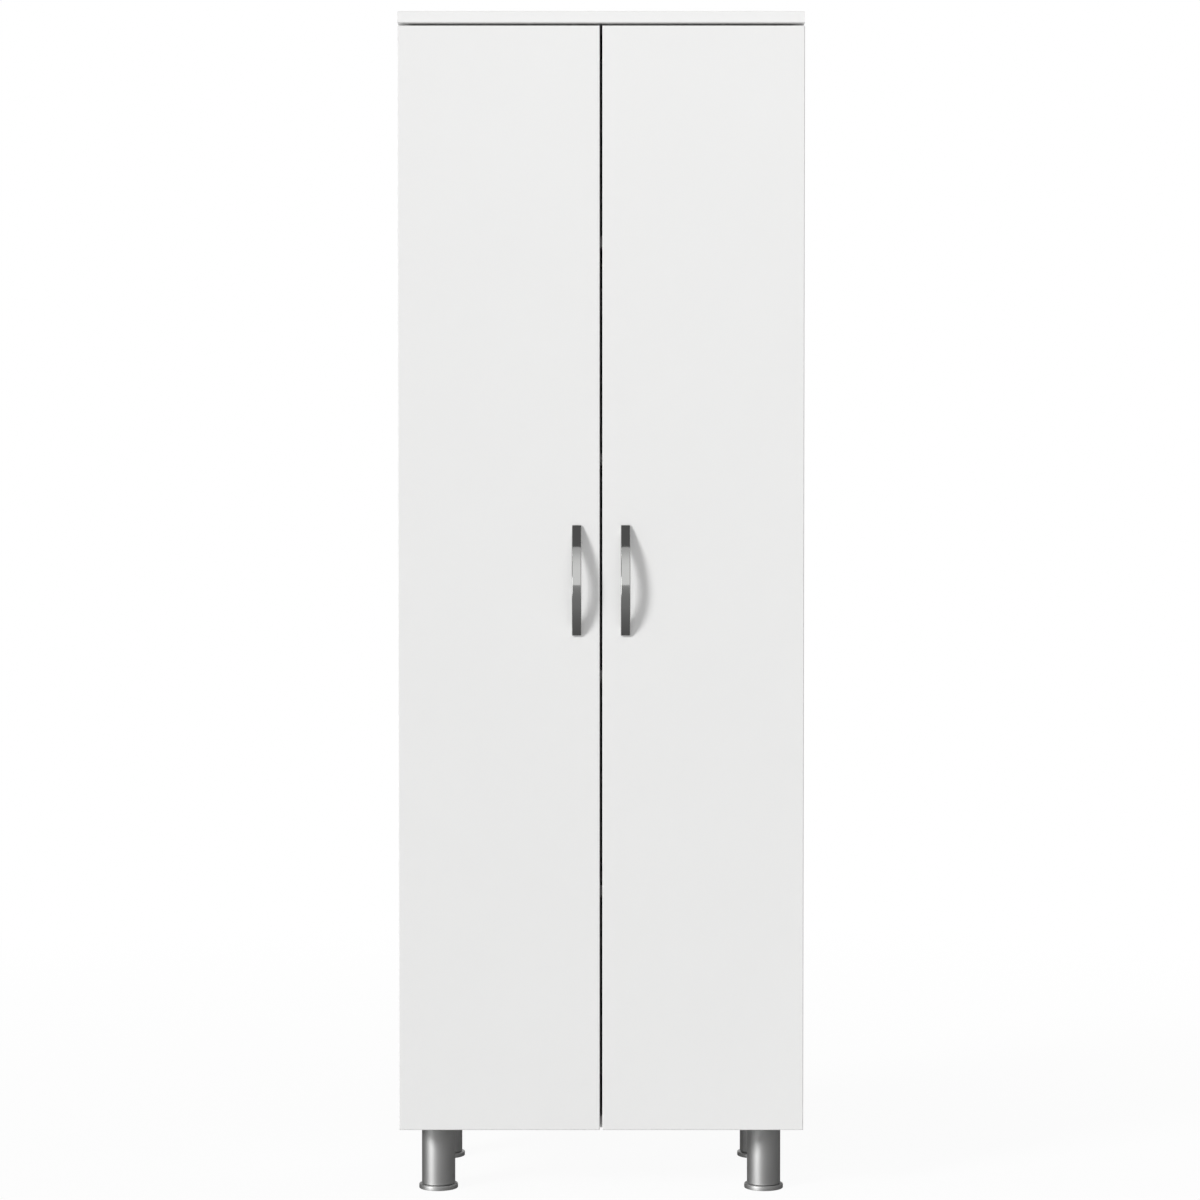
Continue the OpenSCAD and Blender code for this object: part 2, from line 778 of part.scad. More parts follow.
module hinge_cup_pins() {
    color(bright_metal) hinge_places() pins_at([outer_cup_pin, inner_cup_pin]);
}

module hinge_cups() {
    color(zinc) hinge_places() difference() {
        union() {
            difference() {
                union() {
                    translate([cup_x, 0, 0]) rotate([90, 0, 0]) cylinder(d = cup_d, h = cup_h);
                    translate([cup_x, flange_t, 0]) rotate([90, 0, 0]) linear_extrude(flange_t) {
                        circle(d = cup_d + 2 * flange_rim);
                        capsule([cup_offset, -cup_pitch / 2], [cup_offset, cup_pitch / 2], cup_ear);
                    }
                }
                translate([cup_x, flange_t + 1, 0]) rotate([90, 0, 0])
                    cylinder(d = cup_bore, h = flange_t + 1 - cup_floor);
                translate([0, 0, -arm_out - cup_slot_side])
                    cube([cup_x - cup_slot_in, flange_t + 1, 2 * (arm_out + cup_slot_side)]);
            }
            intersection() {
                cheeks(arm_in, arm_out) translate([cup_edge, cup_floor - cup_wall / 2])
                    square([cup_cheek_l, cup_wall / 2 - cup_floor - cup_cheek_sunk]);
                translate([cup_x, 0, 0]) rotate([90, 0, 0]) cylinder(d = cup_d - cup_wall, h = cup_h);
            }
        }
        pin_bores([outer_cup_pin, inner_cup_pin], hinge_pin_d + 2 * push_fit);
        cup_screw_places() translate([0, 0, -flange_t - 1])
            cylinder(d = cup_screw_d + 2 * push_fit, h = flange_t + 2);
    }
}

module hinge_cup_screws() {
    color(zinc) hinge_places() cup_screw_places() pan_screw(cup_screw_d, cup_screw_l, cup_screw_head);
}

// Drawing
mirror([1, 0, 0]) side_panel();  // left_side_panel
side_panel();  // right_side_panel
top_panel();
bottom_panel();
back_panel();
back_nails();
shelf(1);  // shelf_1
shelf(2);  // shelf_2
shelf(3);  // shelf_3
shelf(4);  // shelf_4
shelf_pins();
cam_locks();
cam_bolts();
dowels();
leg_plates();
leg_plate_screws();
leg_bushes();
leg(-leg_x, leg_ys[0]);  // leg_front_left
leg(leg_x, leg_ys[0]);  // leg_front_right
leg(-leg_x, leg_ys[1]);  // leg_rear_left
leg(leg_x, leg_ys[1]);  // leg_rear_right
foot(-leg_x, leg_ys[0]);  // foot_front_left
foot(leg_x, leg_ys[0]);  // foot_front_right
foot(-leg_x, leg_ys[1]);  // foot_rear_left
foot(leg_x, leg_ys[1]);  // foot_rear_right
door();  // left_door
mirror([1, 0, 0]) door();  // right_door
handle();  // left_handle
mirror([1, 0, 0]) handle();  // right_handle
handle_screws();  // left_handle_screws
mirror([1, 0, 0]) handle_screws();  // right_handle_screws
door_bumper();  // left_door_bumper
mirror([1, 0, 0]) door_bumper();  // right_door_bumper
hinge_plates();  // left_hinge_plates
mirror([1, 0, 0]) hinge_plates();  // right_hinge_plates
hinge_plate_screws();  // left_hinge_plate_screws
mirror([1, 0, 0]) hinge_plate_screws();  // right_hinge_plate_screws
hinge_arms();  // left_hinge_arms
mirror([1, 0, 0]) hinge_arms();  // right_hinge_arms
hinge_arm_screws();  // left_hinge_arm_screws
mirror([1, 0, 0]) hinge_arm_screws();  // right_hinge_arm_screws
hinge_arm_pins();  // left_hinge_arm_pins
mirror([1, 0, 0]) hinge_arm_pins();  // right_hinge_arm_pins
outer_links();  // left_outer_links
mirror([1, 0, 0]) outer_links();  // right_outer_links
inner_links();  // left_inner_links
mirror([1, 0, 0]) inner_links();  // right_inner_links
hinge_cup_pins();  // left_hinge_cup_pins
mirror([1, 0, 0]) hinge_cup_pins();  // right_hinge_cup_pins
hinge_cups();  // left_hinge_cups
mirror([1, 0, 0]) hinge_cups();  // right_hinge_cups
hinge_cup_screws();  // left_hinge_cup_screws
mirror([1, 0, 0]) hinge_cup_screws();  // right_hinge_cup_screws
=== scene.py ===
# %% [markdown]
# # A pantry cabinet, dressed in Blender
#
# The cabinet comes in as a finished CAD model: boards, hinges, legs and screws, each in its place.
# This notebook gives every one of them its finish, and remodels the few pieces whose polished
# curves need more than CAD facets. Everything is in metres, with the floor at z = 0.

# %% Load the cabinet
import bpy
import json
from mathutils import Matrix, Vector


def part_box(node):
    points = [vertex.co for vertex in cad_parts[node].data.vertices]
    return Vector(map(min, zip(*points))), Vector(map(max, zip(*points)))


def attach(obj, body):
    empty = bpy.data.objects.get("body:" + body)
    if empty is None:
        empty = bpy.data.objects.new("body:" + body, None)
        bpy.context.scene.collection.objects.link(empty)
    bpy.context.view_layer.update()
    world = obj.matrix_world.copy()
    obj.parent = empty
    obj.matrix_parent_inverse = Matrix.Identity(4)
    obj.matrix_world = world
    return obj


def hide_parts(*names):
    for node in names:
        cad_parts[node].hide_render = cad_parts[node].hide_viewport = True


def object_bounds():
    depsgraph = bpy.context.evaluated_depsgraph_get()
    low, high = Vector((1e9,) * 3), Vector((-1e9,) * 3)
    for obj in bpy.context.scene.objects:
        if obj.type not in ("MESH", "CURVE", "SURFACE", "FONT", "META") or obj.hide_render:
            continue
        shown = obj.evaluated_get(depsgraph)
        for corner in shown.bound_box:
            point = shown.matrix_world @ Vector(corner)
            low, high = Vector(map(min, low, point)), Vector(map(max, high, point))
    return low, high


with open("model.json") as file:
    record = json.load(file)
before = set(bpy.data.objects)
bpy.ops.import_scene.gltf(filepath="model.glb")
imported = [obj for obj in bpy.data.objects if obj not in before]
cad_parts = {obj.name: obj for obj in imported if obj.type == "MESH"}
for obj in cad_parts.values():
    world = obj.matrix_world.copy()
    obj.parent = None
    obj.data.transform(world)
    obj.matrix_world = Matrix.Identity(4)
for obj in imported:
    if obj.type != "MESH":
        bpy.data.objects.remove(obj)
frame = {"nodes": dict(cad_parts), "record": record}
cad_box = [list(corner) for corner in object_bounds()]

import json
import math
import bmesh
import bpy
from mathutils import Vector

nodes = frame["nodes"]
cad_size = [round(high - low, 4) for low, high in zip(*cad_box)]
print("cabinet box in metres:", cad_size, "from", len(nodes), "CAD pieces")

# %% [markdown]
# ## Shader maths as plain expressions
#
# A pattern such as the grain of a laminate is a little sum over noise values. Wiring each step by
# hand hides the sum, so one small class wraps a socket and lets Python's own operators add the Math
# nodes. Any other node comes from one method, `node`, that sets the node up and feeds its sockets.

# %% A socket that can be added, multiplied and compared
class Wire:
    def __init__(self, finish, socket):
        self.finish, self.socket = finish, socket

    def maths(self, operation, *others):
        inputs = dict(enumerate((self, *others)))
        return self.finish.node("ShaderNodeMath", {"operation": operation}, inputs)

    def __add__(self, other): return self.maths("ADD", other)
    def __radd__(self, other): return self.maths("ADD", other)
    def __sub__(self, other): return self.maths("SUBTRACT", other)
    def __rsub__(self, other): return self.maths("MULTIPLY", -1.0).maths("ADD", other)
    def __mul__(self, other): return self.maths("MULTIPLY", other)
    def __rmul__(self, other): return self.maths("MULTIPLY", other)
    def __lt__(self, other): return self.maths("LESS_THAN", other)
    def __gt__(self, other): return self.maths("GREATER_THAN", other)
    def __abs__(self): return self.maths("ABSOLUTE")

print("sockets can be added, multiplied and compared")

# %% A finish: one material, and the methods that add nodes to it
class Finish:
    def __init__(self, name, **constants):
        self.material = bpy.data.materials.new(name)
        self.material.use_nodes = True
        self.tree = self.material.node_tree
        self.shader = self.tree.nodes["Principled BSDF"]
        for socket, value in constants.items():
            self.shader.inputs[socket.replace("_", " ")].default_value = value

    def node(self, kind, settings=None, inputs=None, output=0):
        made = self.tree.nodes.new(kind)
        for key, value in (settings or {}).items():
            if key == "stops":
                self.set_stops(made.color_ramp.elements, value)
            else:
                setattr(made, key, value)
        for key, value in (inputs or {}).items():
            if isinstance(value, Wire):
                self.tree.links.new(value.socket, made.inputs[key])
            else:
                made.inputs[key].default_value = value
        return Wire(self, made.outputs[output])

    def set_stops(self, elements, stops):
        while len(elements) < len(stops):
            elements.new(0.5)
        for element, (position, level) in zip(elements, stops):
            element.position, element.color = position, colour(level, level, level)

    def feed(self, **sockets):
        for socket, wire in sockets.items():
            self.tree.links.new(wire.socket, self.shader.inputs[socket.replace("_", " ")])

    def show(self, wire, outlet="Material Output"):
        self.tree.links.new(wire.socket, self.tree.nodes[outlet].inputs["Surface"])

    def place(self):
        return self.node("ShaderNodeTexCoord", output="Object")

    def axis(self, name):
        return self.node("ShaderNodeSeparateXYZ", inputs={0: self.place()}, output=name)

    def stretched(self, x, y, z):
        inputs = {"Vector": self.place(), "Scale": (x, y, z)}
        return self.node("ShaderNodeMapping", inputs=inputs)

    def noise(self, scale, detail, roughness=0.5, vector=None):
        inputs = {"Vector": vector or self.place(), "Scale": scale,
                  "Detail": detail, "Roughness": roughness}
        return self.node("ShaderNodeTexNoise", inputs=inputs)

    def blend(self, amount, first, second):
        inputs = {0: amount, 6: first, 7: second}
        return self.node("ShaderNodeMix", {"data_type": "RGBA"}, inputs, output=2)

    def bump(self, height, distance, strength):
        inputs = {"Height": height, "Distance": distance, "Strength": strength}
        self.feed(Normal=self.node("ShaderNodeBump", inputs=inputs))

def colour(r, g, b):
    return (r, g, b, 1.0)

print("finishes can be mixed")

# %% [markdown]
# ## The camera
#
# The cabinet is seen straight from the front by a long 90 mm lens, four and a half metres away and
# about a metre up, so its sides vanish behind the doors and its lines stay almost parallel. The
# camera tips down by one and a half degrees, which makes the doors a hair narrower at the foot.

# %% Place the camera
camera_away, camera_height, camera_aside, camera_tilt = 4.545, 1.0274, -0.0017, 0.02554
door_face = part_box("left_door")[0][1]
camera = bpy.data.objects.new("camera", bpy.data.cameras.new("camera"))
bpy.context.collection.objects.link(camera)
camera.data.lens = 90
camera.data.sensor_width = 36
camera.location = (camera_aside, door_face - camera_away, camera_height)
camera.rotation_euler = (math.pi / 2 - camera_tilt, 0, 0)
bpy.context.scene.camera = camera
print("camera at", [round(v, 3) for v in camera.location])

# %% [markdown]
# ## White melamine facing
#
# The boards are particle board under a thin sheet of printed, resin-soaked paper. It is white,
# nearly matte, and pressed against a plate that leaves a fine pearl texture, so its sheen breaks up
# into grains well under a millimetre. Fine noises make that bump, and a broad, faint one keeps a
# large door from looking like flat paint. Object coordinates keep the grain at its real size on
# every board. A board whose narrow edges show passes in a pattern of glue lines as well.

# %% Mix the melamine
def melamine(name, tint, lines=None):
    finish = Finish(name, IOR=1.5)
    pearl = finish.noise(1400, detail=2)
    cloud = finish.noise(6, detail=4)
    darker, lighter = [colour(*[v * change for v in tint]) for change in (0.975, 1.01)]
    shade = finish.blend(cloud * 0.6 + pearl * 0.4, darker, lighter)
    if lines:
        glue = colour(0.45, 0.43, 0.40)
        shade = finish.blend(lines(finish) * 0.6, shade, glue)
    finish.feed(Base_Color=shade, Roughness=0.37 + 0.10 * pearl)
    finish.bump(pearl * 0.7 + finish.noise(380, detail=1) * 0.3, 0.00005, 0.5)
    return finish.material

board_tint = (0.82, 0.82, 0.815)
white_board = melamine("white_melamine", board_tint)
print("mixed", white_board.name)

# %% [markdown]
# ## Edge bands
#
# The narrow edges of a board are covered by a strip of plastic, glued on and trimmed. A hairline
# shows where strip meets facing. It lies in the material: the distance from the two faces of a
# board, read along one axis, is compared with the width of the glue line.

# %% Mix the finishes of the doors and the top, with their glue lines
def glue_lines(node, axis_name):
    strip, half_line = 0.0011, 0.00009
    near, far = [corner["XYZ".index(axis_name)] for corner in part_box(node)]

    def draw(finish):
        across = finish.axis(axis_name)
        front_line = abs(across - (near + strip)) < half_line
        rear_line = abs(across - (far - strip)) < half_line
        return front_line + rear_line
    return draw

top_tint = (0.84, 0.84, 0.835)
door_white = melamine("door_melamine", board_tint, glue_lines("left_door", "Y"))
top_white = melamine("top_melamine", top_tint, glue_lines("top_panel", "Z"))
print("mixed", door_white.name, "and", top_white.name)

# %% [markdown]
# ## The back panel
#
# The back is thin hardboard. Its inner face is white like the boards, and its rear face is left
# bare: tan, with pressed fibres in all directions. One material tells the two by how far back the
# surface lies.

# %% Mix the hardboard
rear, bare_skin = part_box("back_panel")[1][1], 0.0006
hardboard = Finish("back_hardboard", IOR=1.45)
fibre = hardboard.noise(220, detail=8, roughness=0.7)
flake = hardboard.noise(1, detail=5, vector=hardboard.stretched(900, 900, 160))
brown, tan = colour(0.30, 0.205, 0.125), colour(0.46, 0.34, 0.225)
bare = hardboard.blend(fibre * 0.6 + flake * 0.4, brown, tan)
is_rear = hardboard.axis("Y") > rear - bare_skin
hardboard.feed(Base_Color=hardboard.blend(is_rear, colour(0.80, 0.80, 0.79), bare),
               Roughness=0.5 + 0.25 * fibre)
hardboard.bump(fibre, 0.0001, 0.6)
print("mixed", hardboard.material.name)

# %% [markdown]
# ## Metals
#
# Three metals are in sight. The handles are polished chrome, which is all reflection. The legs and
# their feet are satin steel, brushed round the tube. The brush marks spread a highlight along the
# leg more than across it, which is what the anisotropy says, so it becomes a soft upright band.
# The hinges and screws are plated, a little darker and less even.

# %% Mix the chrome
chrome = Finish("handle_chrome", Base_Color=colour(0.55, 0.553, 0.545), Metallic=1.0)
smear = chrome.noise(55, detail=4)
chrome.feed(Roughness=0.045 + 0.05 * smear)
chrome.bump(chrome.noise(900, detail=2), 0.000004, 0.3)
print("mixed", chrome.material.name)

# %% Mix the satin steel
satin = Finish("leg_satin_steel", Metallic=1.0, Anisotropic=0.55, Anisotropic_Rotation=0.25)
rings = satin.noise(1, detail=6, roughness=0.65, vector=satin.stretched(25, 25, 5200))
cloud = satin.noise(30, detail=3)
dull, bright = colour(0.52, 0.52, 0.52), colour(0.62, 0.62, 0.612)
satin.feed(Base_Color=satin.blend(rings * 0.7 + cloud * 0.3, dull, bright),
           Roughness=0.54 + 0.10 * rings)
satin.bump(rings, 0.00001, 0.4)
print("mixed", satin.material.name)

# %% Mix the plated steels
def plated(name, first, second, roughness):
    finish = Finish(name, Metallic=1.0)
    mottle = finish.noise(240, detail=5, roughness=0.6)
    finish.feed(Base_Color=finish.blend(mottle, colour(*first), colour(*second)),
                Roughness=roughness + 0.12 * mottle)
    finish.bump(mottle, 0.00001, 0.4)
    return finish.material

nickel = plated("hinge_nickel", (0.52, 0.52, 0.50), (0.66, 0.65, 0.63), 0.22)
zinc = plated("zinc_plate", (0.50, 0.52, 0.55), (0.66, 0.67, 0.69), 0.26)
cast = plated("cast_zinc", (0.38, 0.38, 0.39), (0.50, 0.50, 0.51), 0.40)
pin_steel = plated("pin_steel", (0.42, 0.42, 0.42), (0.52, 0.52, 0.52), 0.24)
print("mixed", ", ".join(metal.name for metal in (nickel, zinc, cast, pin_steel)))

# %% [markdown]
# ## Beech, plastic and soft bumpers
#
# The dowels are beech, with fine pores along their length. The bush in each leg is black moulded
# plastic, and the bumpers on the doors are soft and nearly clear. All three follow one recipe: a
# noise picks between two close colours and also roughens the surface a little.

# %% Mix the small finishes
beech = Finish("dowel_beech", IOR=1.45)
pores = beech.noise(1, detail=6, roughness=0.7, vector=beech.stretched(300, 2200, 2200))
beech.feed(Base_Color=beech.blend(pores, colour(0.42, 0.26, 0.13), colour(0.66, 0.46, 0.27)),
           Roughness=0.55 + 0.2 * pores)
beech.bump(pores, 0.00008, 0.5)

bush = Finish("bush_plastic", IOR=1.47)
grain = bush.noise(900, detail=3)
bush.feed(Base_Color=bush.blend(grain, colour(0.012, 0.012, 0.013), colour(0.022, 0.022, 0.023)),
          Roughness=0.45 + 0.15 * grain)
bush.bump(grain, 0.00003, 0.5)

bumper = Finish("clear_bumper", IOR=1.45, Transmission_Weight=0.6)
haze = bumper.noise(500, detail=2)
bumper.feed(Base_Color=bumper.blend(haze, colour(0.80, 0.81, 0.82), colour(0.88, 0.89, 0.90)),
            Roughness=0.25 + 0.15 * haze)
print("mixed", ", ".join(small.material.name for small in (beech, bush, bumper)))

# %% [markdown]
# ## Dressing the CAD pieces
#
# Each CAD piece comes with a named slot that says what it is made of. A table turns those names
# into the finishes above, so no piece is forgotten and all screws look alike. Only the doors and
# the top, whose edge bands are in sight, then get their own melamine.

# %% Give each CAD piece its finish
finishes = {
    "white_board": white_board, "white_back": hardboard.material, "leg_tube": satin.material,
    "foot_pad": satin.material, "handle_chrome": chrome.material, "hinge_steel": nickel,
    "clear_bumper": bumper.material, "hinge_pin": pin_steel, "zinc_screw": zinc,
    "cam_zinc": cast, "plate_zinc": zinc, "bush_plastic": bush.material, "beech": beech.material,
}
slots = {entry["node"]: entry["material_slot"] for entry in frame["record"]["subparts"]}
for name, piece in nodes.items():
    for slot in piece.material_slots:
        slot.material = finishes[slots[name]]
for name in ("left_door", "right_door"):
    nodes[name].material_slots[0].material = door_white
nodes["top_panel"].material_slots[0].material = top_white
print("finished", len(nodes), "CAD pieces with", len(finishes), "materials")

# %% [markdown]
# ## The bow handles
#
# Each handle is a chrome bar that bows out from the door: its outer face is an arc of a large
# circle, and a smaller arc makes the gap for the fingers. A spin of a single vertex draws each arc
# exactly. The outline of the two arcs is filled and pulled across the bar's width, and a bevel then
# rounds every edge, which is what catches the light on polished metal.

# %% Put a finished mesh into the scene
def object_from(name, mesh, material):
    data = bpy.data.meshes.new(name)
    mesh.to_mesh(data)
    mesh.free()
    data.materials.append(material)
    made = bpy.data.objects.new(name, data)
    bpy.context.collection.objects.link(made)
    return made

def finished_object(name, mesh, material, body, replaced):
    piece = object_from(name, mesh, material)
    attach(piece, body)
    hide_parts(*replaced)
    print(name, "has", len(piece.data.polygons), "faces and stands for", ", ".join(replaced))

print("a mesh can join the scene")

# %% Draw and pull out a handle
def arc(mesh, centre, start, steps):
    reach = start - centre
    vertex = bmesh.ops.create_vert(mesh, co=start)["vert"]
    bmesh.ops.spin(mesh, geom=vertex, cent=centre, axis=(-1, 0, 0), steps=steps,
                   angle=2 * math.atan2(abs(reach.z), abs(reach.y)))

def arc_radius(half, rise):
    return (half ** 2 + rise ** 2) / (2 * rise)

def handle_outline(mesh, node):
    lower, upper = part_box(node)
    half, out, face = (upper.z - lower.z) / 2, upper.y - lower.y, upper.y
    end_thickness, middle_thickness, foot = 0.003, 0.004, 0.012
    outer_steps, inner_steps = 72, 48

    def point(y, z):
        return Vector((lower.x, y, (lower.z + upper.z) / 2 + z))

    outer = arc_radius(half, out - end_thickness)
    inner = arc_radius(half - foot, out - middle_thickness)
    outer_centre, inner_centre = face - out + outer, face - out + middle_thickness + inner
    arc(mesh, point(outer_centre, 0), point(face - end_thickness, -half), outer_steps)
    arc(mesh, point(inner_centre, 0), point(face, foot - half), inner_steps)
    tips = sorted((v for v in mesh.verts if len(v.link_edges) == 1), key=lambda v: v.co.z)
    for tip, heel, z in ((tips[0], tips[1], -half), (tips[3], tips[2], half)):
        corner = bmesh.ops.create_vert(mesh, co=point(face, z))["vert"][0]
        mesh.edges.new((tip, corner))
        mesh.edges.new((corner, heel))
    return upper.x - lower.x

def bow_handle(name, node, body):
    edge_radius, sharp_angle, flat_side_corners = 0.0013, 0.5, 20
    mesh = bmesh.new()
    width = handle_outline(mesh, node)
    side_face = bmesh.ops.contextual_create(mesh, geom=mesh.edges[:])["faces"]
    pulled = bmesh.ops.extrude_face_region(mesh, geom=side_face)["geom"]
    moved = [v for v in pulled if isinstance(v, bmesh.types.BMVert)]
    bmesh.ops.translate(mesh, vec=(width, 0, 0), verts=moved)
    bmesh.ops.recalc_face_normals(mesh, faces=mesh.faces[:])
    sharp = [e for e in mesh.edges if e.calc_face_angle(0) > sharp_angle]
    bmesh.ops.bevel(mesh, geom=sharp, affect="EDGES", offset=edge_radius, segments=4,
                    profile=0.5, material=-1, clamp_overlap=True)
    for bow_face in mesh.faces:
        bow_face.smooth = len(bow_face.verts) < flat_side_corners
    finished_object(name, mesh, chrome.material, body, [node])

for side in ("left", "right"):
    bow_handle(side + "_bow_handle", side + "_handle", side + "_door_set")

# %% [markdown]
# ## Legs and levelling feet
#
# A leg is a length of satin tube, and its foot is a wider turned pad with soft edges. Both are
# round, so each is a short profile spun once about the leg's axis. The profile gets its rounded
# corners first, from a bevel of its own vertices, so the spin carries them all the way round.

# %% Spin a profile about an upright axis
def spun(points, axis, rounded):
    steps, merge_distance, sharp_angle = 96, 1e-6, 0.6
    mesh = bmesh.new()
    chain = [bmesh.ops.create_vert(mesh, co=(axis[0] + r, axis[1], z))["vert"][0]
             for r, z in points]
    for first, second in zip(chain[:-1], chain[1:]):
        mesh.edges.new((first, second))
    for index, radius in rounded:
        bmesh.ops.bevel(mesh, geom=[chain[index]], affect="VERTICES", offset=radius, segments=4,
                        profile=0.5, material=-1)
    bmesh.ops.spin(mesh, geom=mesh.verts[:] + mesh.edges[:], cent=(*axis, 0), axis=(0, 0, 1),
                   angle=2 * math.pi, steps=steps, use_merge=True)
    bmesh.ops.remove_doubles(mesh, verts=mesh.verts[:], dist=merge_distance)
    bmesh.ops.recalc_face_normals(mesh, faces=mesh.faces[:])
    for ring in mesh.faces:
        ring.smooth = True
    for edge in mesh.edges:
        edge.smooth = edge.calc_face_angle(0) < sharp_angle
    return mesh

def axis_and_radius(node):
    lower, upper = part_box(node)
    axis = ((lower.x + upper.x) / 2, (lower.y + upper.y) / 2)
    return axis, (upper.x - lower.x) / 2

print("the first leg's axis and radius:", axis_and_radius("leg_front_left"))

# %% Spin the tubes and the levelling feet
def leg_tube(place):
    lower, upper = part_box("leg_" + place)
    axis, outer = axis_and_radius("leg_" + place)
    wall, rim = 0.0015, 0.0005
    inner = outer - wall
    profile = [(inner, lower.z), (outer, lower.z), (outer, upper.z), (inner, upper.z),
               (inner, lower.z)]
    mesh = spun(profile, axis, [(1, rim)])
    finished_object("leg_tube_" + place, mesh, satin.material, "case", ["leg_" + place])

def levelling_foot(place):
    axis, pad = axis_and_radius("foot_" + place)
    tube_end, stud_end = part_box("leg_" + place)[0].z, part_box("foot_" + place)[1].z
    seam, setback, stud = 0.0014, 0.006, 0.005
    pad_rim, pad_shoulder, stud_tip = 0.0009, 0.0012, 0.0008
    collar, top = axis_and_radius("leg_" + place)[1] - setback, tube_end - seam
    profile = [(0, 0), (pad, 0), (pad, top), (collar, top), (collar, tube_end),
               (stud, tube_end), (stud, stud_end), (0, stud_end)]
    mesh = spun(profile, axis, [(1, pad_rim), (2, pad_shoulder), (6, stud_tip)])
    finished_object("levelling_foot_" + place, mesh, satin.material, "foot_%s_set" % place,
                    ["foot_" + place])

for place in ("front_left", "front_right", "rear_left", "rear_right"):
    leg_tube(place)
    levelling_foot(place)

# %% [markdown]
# ## The floor and the white room
#
# A pale floor runs on without an edge into a white surround. Seen directly, in a reflection or
# through a clear piece, both are pure white, which Light Path arranges, so no lamp has to burn them
# out. Near the cabinet a trace of the real floor stays in the mix, and it keeps the soft shadow. It
# fades out with distance, so that no horizon shows. The room is Blender's World, whose nodes work
# like a material's, so it is mixed as one more finish.

# %% Lay the floor
def ramp(amount, *stops):
    return amount.finish.node("ShaderNodeValToRGB", {"stops": stops}, {0: amount})

def distance(finish):
    squared = finish.axis("X") * finish.axis("X") + finish.axis("Y") * finish.axis("Y")
    per_metre = 0.1
    return squared.maths("POWER", 0.5) * per_metre

def seen_rays(finish):
    seen = finish.node("ShaderNodeLightPath", output="Is Camera Ray")
    for kind in ("Is Glossy Ray", "Is Transmission Ray"):
        seen = seen.maths("MAXIMUM", finish.node("ShaderNodeLightPath", output=kind))
    return seen

pure_white, floor_half = colour(1, 1, 1), 30
sheet = bmesh.new()
bmesh.ops.create_grid(sheet, x_segments=1, y_segments=1, size=floor_half)
ground = Finish("floor_white", Base_Color=colour(0.80, 0.80, 0.80), Roughness=0.9)
floor = object_from("floor", sheet, ground.material)
glow = ground.node("ShaderNodeEmission", inputs={"Color": pure_white, "Strength": 1.0})
lit = Wire(ground, ground.shader.outputs[0])
nearness = ramp(distance(ground), (0.07, 0.94), (0.30, 1.0))
mixed = {0: seen_rays(ground) * nearness, 1: lit, 2: glow}
ground.show(ground.node("ShaderNodeMixShader", inputs=mixed))
print("floor laid,", 2 * floor_half, "metres wide")

# %% Fill the room with light
class Room(Finish):
    def __init__(self, name):
        self.world = bpy.data.worlds.new(name)
        self.world.use_nodes = True
        self.tree = self.world.node_tree

room = Room("room")
bpy.context.scene.world = room.world
fill, fill_strength = room.tree.nodes["Background"], 0.31
fill.inputs["Color"].default_value = pure_white
fill.inputs["Strength"].default_value = fill_strength
surround = room.node("ShaderNodeBackground", inputs={"Color": pure_white, "Strength": 1.0})
mixed = {0: seen_rays(room), 1: Wire(room, fill.outputs[0]), 2: surround}
room.show(room.node("ShaderNodeMixShader", inputs=mixed), "World Output")
print("room lit, with a fill of", fill_strength)

# %% [markdown]
# ## The lamps
#
# The key light stands well to the left of the camera and a little above it. It is far away, so both
# doors get the same light, and fourteen degrees wide, which gives the bow handles their soft-edged
# crescent shadows. Its highlight also draws the bright band on each leg. A wide lamp over the front
# lifts the top of the doors, and one behind keeps the back and the right side from going grey when
# the cabinet is turned.

# %% Hang the lamps
def lamp(name, kind, heading):
    made = bpy.data.objects.new(name, bpy.data.lights.new(name, kind))
    bpy.context.collection.objects.link(made)
    made.rotation_euler = heading.to_track_quat("-Z", "Y").to_euler()
    return made

def softbox(name, place, aim, size, power):
    made = lamp(name, "AREA", Vector(aim) - Vector(place))
    made.data.shape, made.data.size, made.data.energy = "SQUARE", size, power
    made.location = place
    made.visible_glossy = False

key = lamp("key_light", "SUN", Vector((0.684, 0.595, -0.423)))
key.data.energy, key.data.angle = 2.45, math.radians(14)
softbox("top_lamp", place=(0.3, -2.0, 3.4), aim=(0, 0, 1.4), size=1.6, power=14)
softbox("back_lamp", place=(3.0, 3.6, 2.4), aim=(0, 0, 0.9), size=2.4, power=60)
print("lamps hung, the key at", round(key.data.energy, 2))

# %% [markdown]
# ## Flags for the metal
#
# Polished metal shows only what stands around it. In an all-white room it would look like white
# paint, so a studio hangs flags: dark and light cards, just out of view, that draw the edges and
# bands on chrome. These are seen by reflections alone. One hangs overhead, one lies on the floor
# and is paler with distance, two stand to the right and the left, a low bright one stands under the
# key light, and behind the camera the white wall turns grey toward its top. A ramp only reads from
# 0 to 1, so distance, height and depth are scaled to ten, five and eight metres before it.

# %% Make a flag, seen by reflections alone
def flag(name, mesh, shade):
    finish = Finish(name)
    card = object_from(name, mesh, finish.material)
    for kind in ("camera", "diffuse", "transmission", "volume_scatter", "shadow"):
        setattr(card, "visible_" + kind, False)
    light = {"Color": shade(finish), "Strength": 1.0}
    finish.show(finish.node("ShaderNodeEmission", inputs=light))
    print("hung the", name)

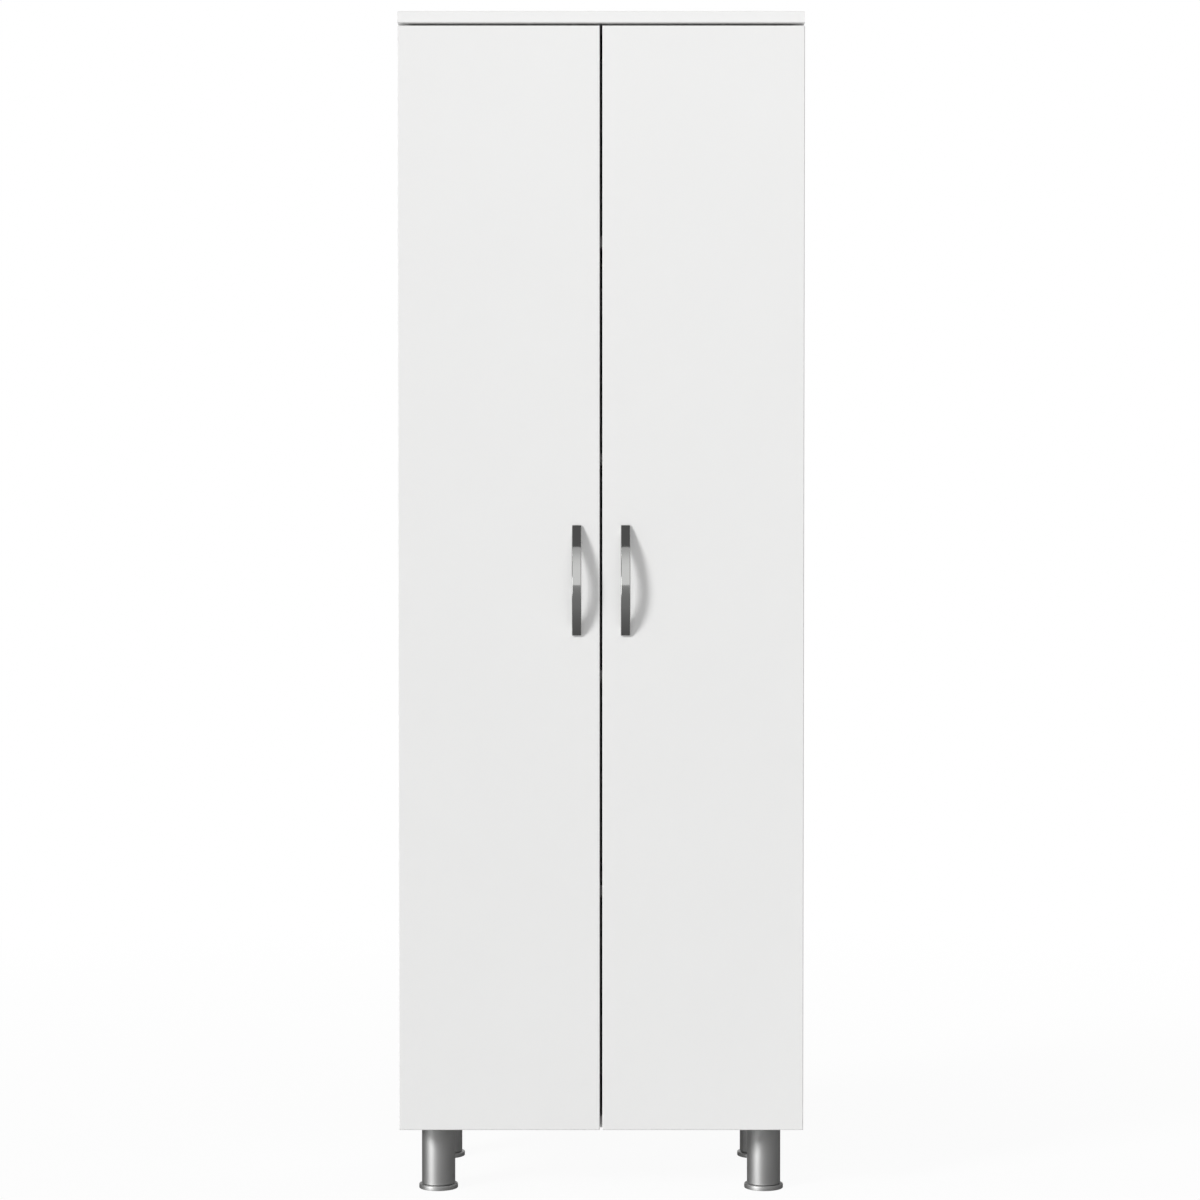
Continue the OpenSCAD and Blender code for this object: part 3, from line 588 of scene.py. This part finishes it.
def screen(radius, start, turn, bottom, top):
    start, turn = math.radians(start), math.radians(turn)
    mesh = bmesh.new()
    begin = Vector((math.sin(start), -math.cos(start), 0)) * radius
    ends = [bmesh.ops.create_vert(mesh, co=begin + Vector((0, 0, z)))["vert"][0]
            for z in (bottom, top)]
    edge = mesh.edges.new(ends)
    bmesh.ops.spin(mesh, geom=ends + [edge], cent=(0, 0, 0), axis=(0, 0, 1), angle=turn,
                   steps=48)
    return mesh

print("a flag can be bent round the cabinet")

# %% Choose the shades of the flags
def grey(level):
    return lambda finish: colour(level, level, level)

def by_distance(finish):
    return ramp(distance(finish), (0.05, 0.12), (0.17, 0.24), (0.92, 0.42))

def by_height(finish):
    height = finish.axis("Z") * 0.2
    return ramp(height, (0.45, 1.0), (0.62, 0.90), (0.80, 0.68), (0.98, 0.55))

def by_depth(finish):
    depth = finish.axis("Y") * 0.125 + 0.5
    return ramp(depth, (0.08, 0.56), (0.22, 0.46), (0.5, 0.30), (0.9, 0.14))

print("three flags are shaded, by distance, height or depth")

# %% Hang the flags
overhead_half, overhead_height = 3.4, 3.4
mat_radius, mat_lift = 9.2, 0.0004
overhead = bmesh.new()
bmesh.ops.create_grid(overhead, x_segments=1, y_segments=1, size=overhead_half)
bmesh.ops.translate(overhead, vec=(0, 0, overhead_height), verts=overhead.verts[:])
flag("overhead_flag", overhead, grey(0.13))
mat = bmesh.new()
bmesh.ops.create_circle(mat, cap_ends=True, segments=64, radius=mat_radius)
bmesh.ops.translate(mat, vec=(0, 0, mat_lift), verts=mat.verts[:])
flag("floor_flag", mat, by_distance)
flag("right_flag", screen(4.0, start=14, turn=150, bottom=-0.1, top=3.3), by_depth)
flag("left_flag", screen(4.0, start=-26, turn=-138, bottom=-0.1, top=3.3), grey(0.16))
flag("key_flag", screen(3.9, start=-34, turn=-38, bottom=0.0, top=1.1), grey(3.3))
flag("wall_flag", screen(5.4, start=-28, turn=42, bottom=2.2, top=4.9), by_height)

# %% [markdown]
# ## Plain colours
#
# The view is left plain, so a colour renders as it is written.

# %% Finish
bpy.context.scene.view_settings.view_transform = "Standard"
